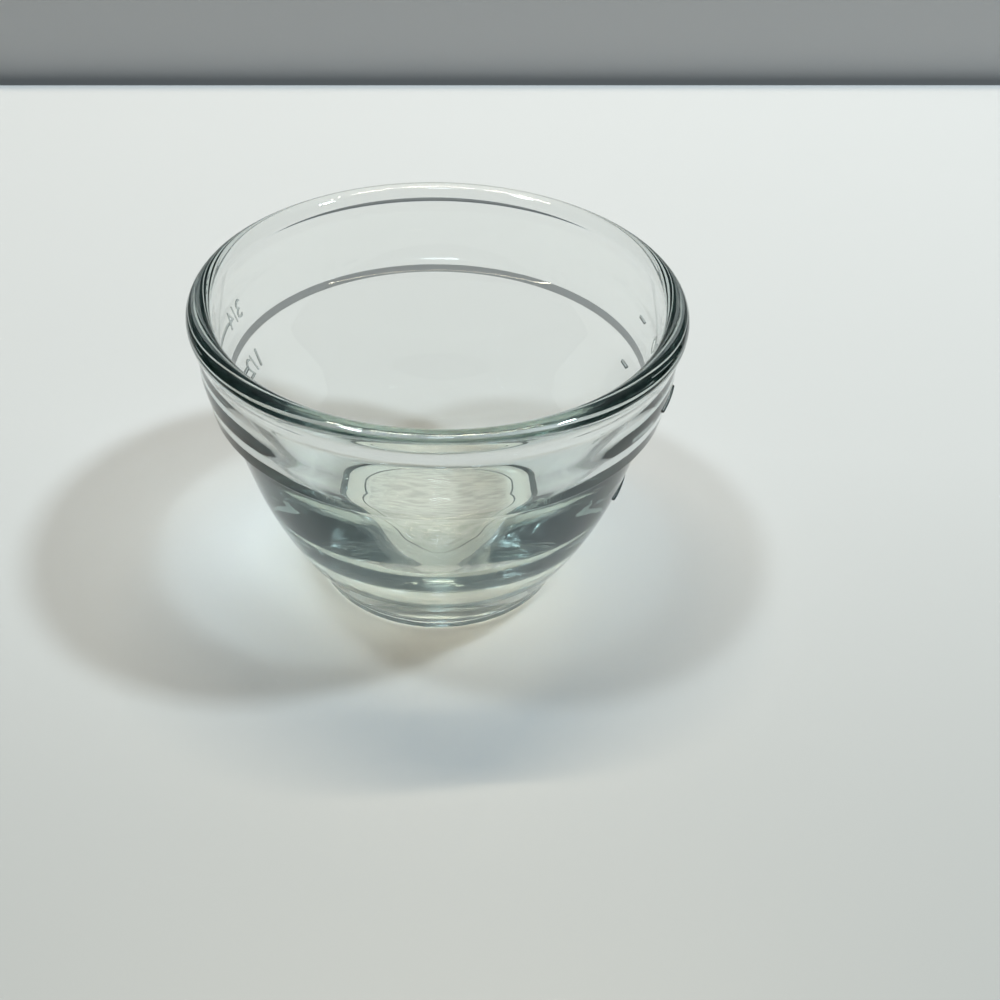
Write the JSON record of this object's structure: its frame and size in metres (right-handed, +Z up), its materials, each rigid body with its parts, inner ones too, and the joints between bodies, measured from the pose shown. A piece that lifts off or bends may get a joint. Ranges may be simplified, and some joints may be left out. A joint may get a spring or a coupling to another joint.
{
  "type": "prep bowl",
  "caption": "Clear pressed-glass prep bowl with a thick round rim, a stepped band, a curved body on a low foot and raised measuring lines.",
  "frame": {"origin": "centre of the ring that the bowl stands on, at table height", "axes": "+Z up along the bowl's axis; the cup scale is on the -X side and the metric scale on the +X side; -Y faces the viewer"},
  "size_m": [0.1016, 0.1016, 0.0691],
  "materials": {
    "glass": "clear gloss with a faint green-grey tint"
  },
  "bodies": {
    "root": {"bowl": "glass", "cup_scale_lines": "glass", "metric_scale_lines": "glass"}
  },
  "joints": []
}
